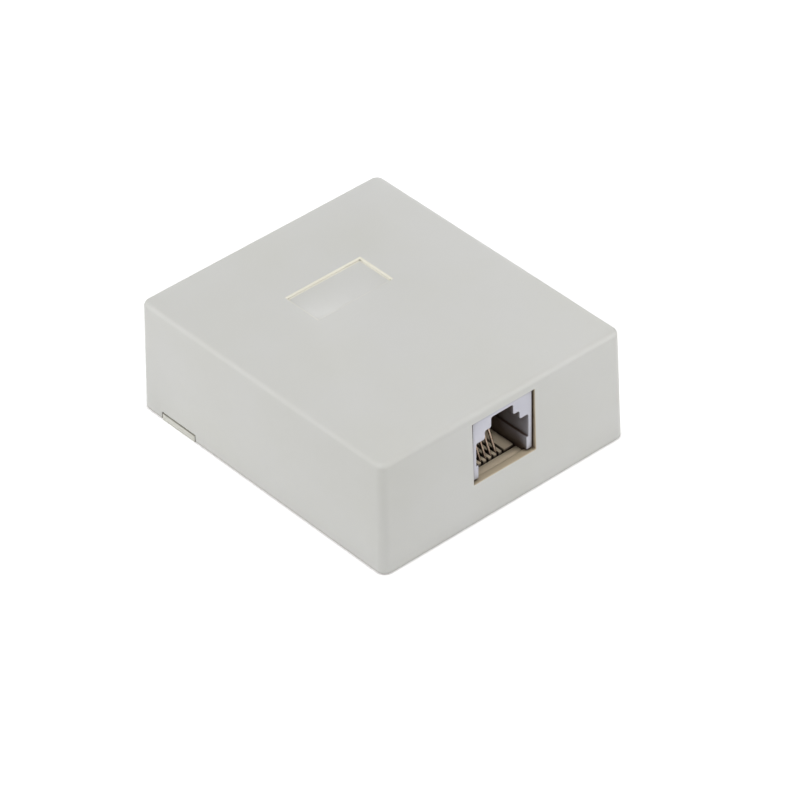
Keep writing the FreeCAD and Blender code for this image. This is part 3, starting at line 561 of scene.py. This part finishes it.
# %% Handing a piece over
def copy_of(piece, name, place, turn=0.0):
    """A copy with its own mesh, turned about the upright axis and moved, in millimetres."""
    take(piece)
    bpy.ops.object.duplicate(linked=False)
    twin = bpy.context.object
    twin.name = name
    twin.rotation_euler.z = math.radians(turn)
    twin.location = [c * MM for c in place]
    return settle(twin)


def finish_piece(piece, body, slot, *nodes):
    """Give a piece its finish, its body and the solids that it stands for."""
    piece.data.materials.clear()
    piece.data.materials.append(finish[slot])
    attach(piece, body)
    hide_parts(*nodes)
    triangles = sum(len(face.vertices) - 2 for face in piece.data.polygons)
    print(piece.name, "stands for", nodes, "with", triangles, "triangles")
    return piece


def corners_of(node):
    """A solid's lowest and highest corners in millimetres."""
    low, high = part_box(node)
    return [c / MM for c in low], [c / MM for c in high]


print("the cover's solid in mm:", [[round(c, 2) for c in corner] for corner in corners_of("cover")])

# %% [markdown]
# ## The cover
# The cover is moulded in one shot: a box open below whose walls lean in a little, so that it
# leaves the mould. It starts as a cube at its real size. Its roof is made a little smaller,
# its corners and the rim of the roof are rounded, and the name strip recess, the window for
# the jack and the prising notch are cut. Every edge is then eased, because no moulded edge is
# knife sharp: this is what catches a thin line of light. Last, a second block takes the
# inside out.

# %% The block of the cover
LEAN = math.tan(math.radians(1.3))
WALL = 1.2
ROOF = 1.5
CORNER, ROOF_EDGE = 1.45, 0.85
low, high = corners_of("cover")


def leaning_block(name, low, high, lean):
    """A box whose four sides lean in by a slope."""
    block = box_between(name, low, high)
    pick(block, lambda v: abs(v.co.z - high[2] * MM) < 0.01 * MM, "VERT")
    step_in = (high[2] - low[2]) * lean
    sizes = [1 - 2 * step_in / (b - a) for a, b in zip(low[:2], high[:2])]
    middle = [(a + b) / 2 * MM for a, b in zip(low[:2], high[:2])] + [high[2] * MM]
    bpy.ops.transform.resize(value=(sizes[0], sizes[1], 1.0), center_override=middle)
    bpy.ops.object.mode_set(mode="OBJECT")
    return block


shell = leaning_block("cover_shell", low, high, LEAN)
round_edges(shell, upright, CORNER, 8)
round_edges(shell, lambda e: all_at(e, 2, high[2]), ROOF_EDGE, 7)
print("cover block", [round(b - a, 2) for a, b in zip(low, high)])

# %% [markdown]
# The name strip recess has a broad rounding at its mouth, broader than the other edges. So it
# is cut and rounded first. The window and the notch follow, and then all the sharp edges are
# eased at once.

# %% Recess, window and notch
front, roof_z = low[1], high[2]
STRIP_HALF, STRIP_FRONT, STRIP_REAR = 7.2, 5.45, 12.55
WINDOW_HALF, WINDOW_FOOT, WINDOW_TOP = 6.1, 7.25, 18.25
NOTCH_FRONT, NOTCH_REAR, NOTCH_TOP = 15.1, 22.9, 1.42
cut(shell, box_between("strip", (-STRIP_HALF, STRIP_FRONT, roof_z - LABEL_SINK),
                       (STRIP_HALF, STRIP_REAR, roof_z + 1)))


def mouth_edge(edge):
    """An edge where the recess breaks the roof."""
    if not all_at(edge, 2, roof_z):
        return False
    middle = (edge.verts[0].co + edge.verts[1].co) / 2 / MM
    return abs(middle.x) < STRIP_HALF + 0.1 and STRIP_FRONT - 0.1 < middle.y < STRIP_REAR + 0.1


print("edges round the recess:", round_edges(shell, mouth_edge, 0.32, 5))
cut(shell, box_between("window", (-WINDOW_HALF, front - 1, WINDOW_FOOT),
                       (WINDOW_HALF, front + 4, WINDOW_TOP)))
cut(shell, box_between("notch", (low[0] - 1, NOTCH_FRONT, -1), (low[0] + 3, NOTCH_REAR, NOTCH_TOP)))
ease(shell, 0.13, 3)
print("cover outside:", len(shell.data.polygons), "faces")

# %% [markdown]
# The inside is one more leaning block. The standing ribs, which stiffen the walls, and the snap
# beads, which hold under the fingers of the base, are first cut out of that block. So they stay
# as plastic when the block is taken from the cover. The thinned panel in the rear wall is broken
# out for a surface cable. The round marks in the roof are where ejector pins push the cover out
# of its mould.

# %% Inside of the cover
hollow = leaning_block("hollow", (low[0] + WALL, low[1] + WALL, low[2] - 1),
                       (high[0] - WALL, high[1] - WALL, high[2] - ROOF), LEAN)
round_edges(hollow, upright, 0.6, 4)
round_edges(hollow, lambda e: all_at(e, 2, high[2] - ROOF), 0.4, 3)
inner_x, inner_y = high[0] - WALL, high[1] - WALL
RIB_HALF, RIB_FOOT, RIB_TOP = 0.6, 1.6, 9.1
ribs = []


def add_rib(near, far, middle, along):
    """A standing rib between two reaches on one axis, about a middle on the other."""
    reach, thick = sorted((near, far)), (middle - RIB_HALF, middle + RIB_HALF)
    xs, ys = (reach, thick) if along == "X" else (thick, reach)
    ribs.append(box_between("rib", (xs[0], ys[0], RIB_FOOT), (xs[1], ys[1], RIB_TOP)))


for y in (-20.0, 2.0):
    for side in (-1, 1):
        add_rib(side * (inner_x - 2.0), side * (inner_x + 1.0), y, "X")
for x in (-15.5, 15.5):
    add_rib(-inner_y - 1.0, -inner_y + 2.0, x, "Y")
    add_rib(inner_y - 2.2, inner_y + 1.0, x, "Y")
for rib in ribs:
    ease(rib, 0.15, 2)
    cut(hollow, rib)
for y in (-10.0, 10.6):
    for side in (-1, 1):
        wall_x = inner_x - LEAN * 4.2
        near_x, far_x = sorted((side * (wall_x - 0.2), side * (wall_x + 0.6)))
        bead = box_between("bead", (near_x, y - 3.0, 3.8), (far_x, y + 3.0, 4.6))
        ease(bead, 0.18, 3)
        cut(hollow, bead)
PANEL_TOP, PANEL_WEB = 8.1, 0.6
panel = box_between("knockout", (-5.5, inner_y - 1, 1.9),
                    (5.5, high[1] - LEAN * PANEL_TOP - PANEL_WEB, PANEL_TOP))
ease(panel, 0.2, 2)
join(hollow, panel)
for x, y in ((-18, -21), (18, -21), (-18, 21), (18, 21), (0, 1)):
    join(hollow, rod("ejector_mark", (x, y, high[2] - ROOF), 1.6, 0.2, 40))
cut(shell, hollow)
smooth(shell)
finish_piece(shell, "cover", "cover_ivory", "cover")
print("ribs", len(ribs), "in a cover with walls of", WALL, "mm")

# %% [markdown]
# The steel that forms the recess is polished, so the rounded walls of the recess are glossier
# than the rest. They are also painted a paler ivory, a painted highlight that shows as a pale
# line, and get their own finish. The walls of the window are painted a warmer, browner ivory:
# painted shade, standing in for light that has bounced between ivory walls first. That is a
# finish of its own too.

# %% Walls of the recess and the window
def recess_wall(face):
    """A face between the roof and the floor of the recess."""
    middle = face.calc_center_median() / MM
    near = abs(middle.x) < STRIP_HALF + 0.6 and STRIP_FRONT - 0.65 < middle.y < STRIP_REAR + 0.65
    return near and roof_z - LABEL_SINK < middle.z < roof_z - 0.01 and face.normal.z < 0.97


def window_wall(face):
    """A face through the wall round the window."""
    middle = face.calc_center_median() / MM
    beside = abs(middle.x) < WINDOW_HALF + 0.2 and middle.y < front + 1.5
    within = WINDOW_FOOT - 0.15 < middle.z < WINDOW_TOP + 0.15
    return beside and within and abs(face.normal.y) < 0.9


# The recess walls take the painted highlight and the window walls the painted shade.
WALL_FINISHES = (("cover_rim_painted_highlight", recess_wall), ("cover_mouth_painted_shade", window_wall))
for slot, (name, chosen) in enumerate(WALL_FINISHES, 1):
    shell.data.materials.append(finish[name])
    print(name, pick(shell, chosen, "FACE"), "faces")
    shell.active_material_index = slot
    bpy.ops.object.material_slot_assign()
    bpy.ops.object.mode_set(mode="OBJECT")

# %% [markdown]
# ## The jack housing
# The housing is a sleeve in smooth white nylon. Its front plate is pierced by the stepped
# opening that only lets a plug in the right way up, and its latch catches behind the plate.
# The opening is one box cut for each step. The cut corners are rounded, as the steel that
# shapes them is worn round. Two ledges narrow the lower half, and they guide the plug's foot.

# %% The jack housing
low, high = corners_of("jack_housing")
left, front, foot = low
right, rear, roof = high
SHOULDER_Y = -25.985        # the housing behind the front wall of the cover
NOSE_FOOT = 7.55            # the part that stands in the window
PLATE, SKIN = 1.1, 0.75     # front plate, and the other walls
plate_back = front + PLATE
deep = rear - SKIN
sleeve = box_between("jack_sleeve", (left, SHOULDER_Y, foot), (right, rear, roof))
join(sleeve, box_between("nose", (left, front, NOSE_FOOT), (right, SHOULDER_Y + 1, roof)))
CUTS = {
    "throat": ((-4.75, front - 1, 3.75), (4.75, deep, 10.5)),
    "plug_room": ((-5.15, front - 1, 9.9), (5.15, deep, 14.05)),
    "latch_room": ((-5.15, plate_back, 13.0), (5.15, deep, 17.4)),
    "wide_step": ((-3.4, front - 1, 13.5), (3.4, plate_back + 0.5, 15.55)),
    "narrow_step": ((-2.15, front - 1, 15.0), (2.15, plate_back + 0.5, 17.4)),
    "rear_door": ((-4.75, deep - 0.5, 3.75), (4.75, rear + 1, 7.22)),
}
for name, (near, far) in CUTS.items():
    cut(sleeve, box_between(name, near, far))
tidy_faces(sleeve)


def step_corner(edge):
    """An edge of the front plate's opening that runs from front to back."""
    middle = (edge.verts[0].co + edge.verts[1].co) / 2 / MM
    inside = abs(middle.x) < 5.4 and 9.0 < middle.z < 17.7
    return inside and abs(run_of(edge).y) > 0.9 and middle.y < plate_back


print("step corners:", round_edges(sleeve, step_corner, 0.36, 5))
ease(sleeve, 0.07, 2)
smooth(sleeve)
finish_piece(sleeve, "base", "jack_white", "jack_housing")

# %% [markdown]
# ## The contact carrier
# The carrier is the ivory insert that the plug slides over. A lip runs across its front. Behind
# a narrow trench come five teeth and a solid block on either side, with a slot between each
# two. The slots are cut at the standard pitch, and all edges are eased.

# %% The contact carrier
PITCH = 1.016
SLOTS, SLOT_HALF, SLOT_FLOOR = 6, 0.25, 5.1
LIP, TRENCH, REAR_WEB = 1.4, 0.55, 3.5
low, high = corners_of("contact_carrier")
half, over = high[0], high[2] + 1
insert = box_between("contact_insert", low, high)
lip_rear = low[1] + LIP
comb_front = lip_rear + TRENCH
comb_rear = high[1] - REAR_WEB
cut(insert, box_between("trench", (-half - 1, lip_rear, SLOT_FLOOR), (half + 1, comb_front, over)))
for number in range(SLOTS):
    x = (number - (SLOTS - 1) / 2) * PITCH
    cut(insert, box_between("slot", (x - SLOT_HALF, comb_front - 0.3, SLOT_FLOOR),
                            (x + SLOT_HALF, comb_rear, over)))
ease(insert, 0.07, 2)
smooth(insert)
finish_piece(insert, "base", "carrier_ivory", "contact_carrier")
print("slots:", SLOTS, "at", PITCH, "mm")

# %% [markdown]
# ## Contact wires
# Each contact is one round gold wire. It lies in its slot, turns round behind the lip and
# springs up and back over the comb, where the plug's blades press on it. A curve with a round
# section makes the wire, because a curve keeps its section through a tight bend. The end is
# closed and domed, as a cropped and tumbled wire is.

# %% Contact wires
def strand(name, points, radius, sides=16):
    """A round wire through points in millimetres, with smooth turns between them."""
    clear()
    bpy.ops.curve.primitive_nurbs_path_add(location=(0, 0, 0))
    piece = bpy.context.object
    piece.name = name
    curve = piece.data
    curve.splines.clear()
    line = curve.splines.new("NURBS")
    line.points.add(len(points) - 1)
    for point, place in zip(line.points, points):
        point.co = [c * MM for c in place] + [1.0]
    line.use_endpoint_u = True
    line.order_u = 3
    line.resolution_u = 10
    curve.bevel_depth = radius * MM
    curve.bevel_resolution = sides // 4
    curve.use_fill_caps = True
    settle(piece)
    bpy.ops.object.convert(target="MESH")
    piece = bpy.context.object
    round_edges(piece, lambda e: len({f.index for f in e.link_faces}) == 2
                and max(len(f.verts) for f in e.link_faces) > 6, radius * 0.35, 2)
    return smooth(piece, 40.0)


WIRE_Z = 5.345              # centre line of a wire in its slot
WIRE_RADIUS = 0.225
BEND = 0.6
BEND_START = 0.605          # the bend's front behind the front of the solid
TIP_GAP = 0.08
SLOPE = math.radians(67.0)
for number in range(1, 5):
    node = "contact_wire_%d" % number
    low, high = corners_of(node)
    x = (low[0] + high[0]) / 2
    bend_y = low[1] + BEND_START + BEND
    points = [(x, high[1], WIRE_Z), (x, bend_y + 2.0, WIRE_Z), (x, bend_y + 0.5, WIRE_Z)]
    for step in range(9):
        angle = math.radians(-90.0) - (math.pi - SLOPE) * step / 8
        points.append((x, bend_y + BEND * math.cos(angle), WIRE_Z + BEND + BEND * math.sin(angle)))
    foot_y, foot_z = points[-1][1:]
    reach = high[2] - TIP_GAP - foot_z
    for share in (0.05, 0.5, 1.0):
        points.append((x, foot_y + reach * share / math.tan(SLOPE), foot_z + reach * share))
    wire = strand("spring_wire_%d" % number, points, WIRE_RADIUS)
    finish_piece(wire, "base", "contact_gold", node)

# %% [markdown]
# ## Leads
# A soft lead runs from the back of each wire to its terminal. The two outer leads are short and
# the two inner ones pass between the front terminals to the rear ones. Each has one bend, so
# the curve needs five points: two on each straight run and one at the corner between them.

# %% Leads to the terminals
LEAD_TURN = math.radians(65.0)
LEAD_RADIUS = 0.475
SECTION_HALF = 0.4375       # half the width of the solid's section
BARREL_REACH = 4.45         # end of the lead, from the middle of its screw
BEND_RUN = 6.2              # where the bend starts and ends, from its corner
for number in range(1, 5):
    node = "lead_%d" % number
    low, high = corners_of(node)
    side = -1 if number < 3 else 1
    start_x = (low[0] + SECTION_HALF) if side > 0 else (high[0] - SECTION_HALF)
    post = corners_of("terminal_nut_%d" % number)
    post_x, post_y = (post[0][0] + post[1][0]) / 2, (post[0][1] + post[1][1]) / 2
    slant_x, slant_y = side * math.sin(LEAD_TURN), math.cos(LEAD_TURN)
    reach_x, reach_y = post_x - BARREL_REACH * slant_x, post_y - BARREL_REACH * slant_y
    corner_y = reach_y - abs(reach_x - start_x) / math.tan(LEAD_TURN)
    points = [(start_x, low[1], WIRE_Z),
              (start_x, corner_y - BEND_RUN, WIRE_Z),
              (start_x, corner_y, WIRE_Z),
              (start_x + BEND_RUN * slant_x, corner_y + BEND_RUN * slant_y, WIRE_Z),
              (reach_x, reach_y, WIRE_Z)]
    lead = strand("soft_lead_%d" % number, points, LEAD_RADIUS)
    finish_piece(lead, "base", LEAD_SLOTS[number - 1], node)

# %% [markdown]
# ## Spade lugs
# A spade lug is stamped from tinned brass: an open fork that slides under the screw, a neck,
# and a barrel that is rolled up and squeezed on the lead. The dent across the barrel is where
# the crimping tool pressed. One lug is made flat at the origin and then copied to each terminal.

# %% Spade lugs
FORK_Z = 0.3
BARREL_Z = 0.945
lug = rod("lug", (0, 0, FORK_Z), 3.1, 0.6, 64)
join(lug, box_between("neck", (1.6, -1.3, 0.0), (5.0, 1.3, 0.6)))
cut(lug, rod("eye", (0, 0, FORK_Z), 1.85, 3.0, 48))
cut(lug, box_between("jaw", (-5.0, -1.85, -1.0), (0.0, 1.85, 2.0)))
ease(lug, 0.08, 2)
barrel = rod("barrel", (6.4, 0, BARREL_Z), 1.025, 4.0, 40, "X")
cut(barrel, rod("dent", (6.4, 0, BARREL_Z + 1.55), 0.8, 4.0, 32, "Y"))
ease(barrel, 0.1, 2)
cut(barrel, rod("bore", (7.0, 0, BARREL_Z), 0.525, 5.2, 32, "X"))
join(lug, barrel)
smooth(lug)
for number in range(1, 5):
    low, high = corners_of("terminal_nut_%d" % number)
    turn = -25.0 if number < 3 else 205.0
    place = ((low[0] + high[0]) / 2, (low[1] + high[1]) / 2, high[2])
    finish_piece(copy_of(lug, "crimp_lug_%d" % number, place, turn), "base", "tinned_brass",
                 "spade_lug_%d" % number)
bpy.data.objects.remove(lug, do_unlink=True)

# %% [markdown]
# ## Nut plates and washers
# A square brass nut plate sits in each post, so the screw pulls on metal and not on plastic. The
# washer spreads the pull of the screw over the fork of the lug. Both are stamped from sheet, so
# their edges are a little round.

# %% Nut plates and washers
NUT_HIGH, WASHER_HIGH = 0.8, 0.6
nut = box_between("nut", (-3.5, -3.5, 0.0), (3.5, 3.5, NUT_HIGH))
round_edges(nut, upright, 0.35, 4)
cut(nut, rod("tapped_hole", (0, 0, 0.4), 1.73, 3.0, 48))
ease(nut, 0.1, 2)
smooth(nut)
washer = rod("washer", (0, 0, WASHER_HIGH / 2), 3.3, WASHER_HIGH, 64)
cut(washer, rod("hole", (0, 0, 0.3), 1.85, 3.0, 48))
ease(washer, 0.14, 3)
smooth(washer)
print("nut plate", NUT_HIGH, "mm and washer", WASHER_HIGH, "mm high")

# %% [markdown]
# ## The terminal screw
# The pan head takes a flat or a crossed driver: the slot and the cross are cut into it. A real
# thread is rolled. Here a small ridge with three corners is swept round the shank in a helix
# of the thread's pitch, and its two ends are closed.

# %% The terminal screw
HEAD_HIGH, SHANK_LONG = 2.2, 4.4
SLOT_DEEP = 1.0
head = rod("screw", (0, 0, HEAD_HIGH / 2), 3.0, HEAD_HIGH, 64)
round_edges(head, lambda e: all_at(e, 2, HEAD_HIGH), 0.85, 6)
slot_foot = HEAD_HIGH - SLOT_DEEP
cut(head, box_between("slot", (-4.0, -0.5, slot_foot), (4.0, 0.5, 3.0)))
cut(head, box_between("cross", (-0.5, -2.0, slot_foot), (0.5, 2.0, 3.0)))
ease(head, 0.07, 2)
core = rod("core", (0, 0, -SHANK_LONG / 2), 1.4, SHANK_LONG, 32)
round_edges(core, lambda e: all_at(e, 2, -SHANK_LONG), 0.4, 3)
join(head, core)
PITCH_OF_THREAD, TURNS_OF_THREAD = 0.6, 6
clear()
bpy.ops.mesh.primitive_circle_add(vertices=3, radius=0.2 * MM, location=(1.48 * MM, 0, -4.0 * MM),
                                  rotation=(math.pi / 2, 0, 0))
ridge = settle(bpy.context.object)
pick(ridge, lambda v: True, "VERT")
bpy.ops.mesh.edge_face_add()
bpy.ops.object.mode_set(mode="OBJECT")
sweep = ridge.modifiers.new("helix", "SCREW")
sweep.axis = "Z"
sweep.angle = 2 * math.pi
sweep.screw_offset = PITCH_OF_THREAD * MM
sweep.iterations = TURNS_OF_THREAD
sweep.steps = sweep.render_steps = 32
bpy.ops.object.modifier_apply(modifier="helix")
bpy.ops.object.mode_set(mode="EDIT")
bpy.ops.mesh.select_all(action="SELECT")
bpy.ops.mesh.fill_holes(sides=3)
bpy.ops.mesh.normals_make_consistent(inside=False)
bpy.ops.object.mode_set(mode="OBJECT")
print("thread", [round(c / MM, 2) for c in ridge.dimensions])

# %% [markdown]
# ## The four terminals
# The finished nut plate, washer and screw are copied to each terminal. Screws that were driven
# by hand stop at any angle, so each head is turned differently.

# %% The four terminals
HEAD_TURNS = (20.0, -35.0, 60.0, 5.0)
take(head)
ridge.select_set(True)
bpy.ops.object.join()
smooth(head)
for number in range(1, 5):
    for master, name, node, slot in ((nut, "nut_plate", "terminal_nut", "brass"),
                                     (washer, "flat_washer", "terminal_washer", "zinc_steel"),
                                     (head, "pan_screw", "terminal_screw", "zinc_steel")):
        node = "%s_%d" % (node, number)
        low, high = corners_of(node)
        foot_z = low[2] + (SHANK_LONG if master is head else 0.0)
        place = ((low[0] + high[0]) / 2, (low[1] + high[1]) / 2, foot_z)
        turn = HEAD_TURNS[number - 1] if master is head else 0.0
        finish_piece(copy_of(master, "%s_%d" % (name, number), place, turn), "base", slot, node)
for master in (nut, washer, head):
    bpy.data.objects.remove(master, do_unlink=True)

# %% [markdown]
# ## The base plate
# The base plate is right as it stands, but its edges are knife sharp. A copy of its solid is
# merged to whole faces, and every edge is rounded a little, as the mould leaves it.

# %% The base plate
take(frame["nodes"]["base_plate"])
bpy.ops.object.duplicate(linked=False)
floor_plate = bpy.context.object
floor_plate.name = "floor_plate"
tidy_faces(floor_plate)
ease(floor_plate, 0.1, 2)
smooth(floor_plate)
finish_piece(floor_plate, "base", "base_ivory", "base_plate")

# %% [markdown]
# ## Dress the solids
# Each solid of the frame gets the finish of its material slot.

# %% Dress the solids
for part in frame["record"]["subparts"]:
    solid = frame["nodes"][part["node"]]
    solid.data.materials.clear()
    solid.data.materials.append(finish[part["material_slot"]])
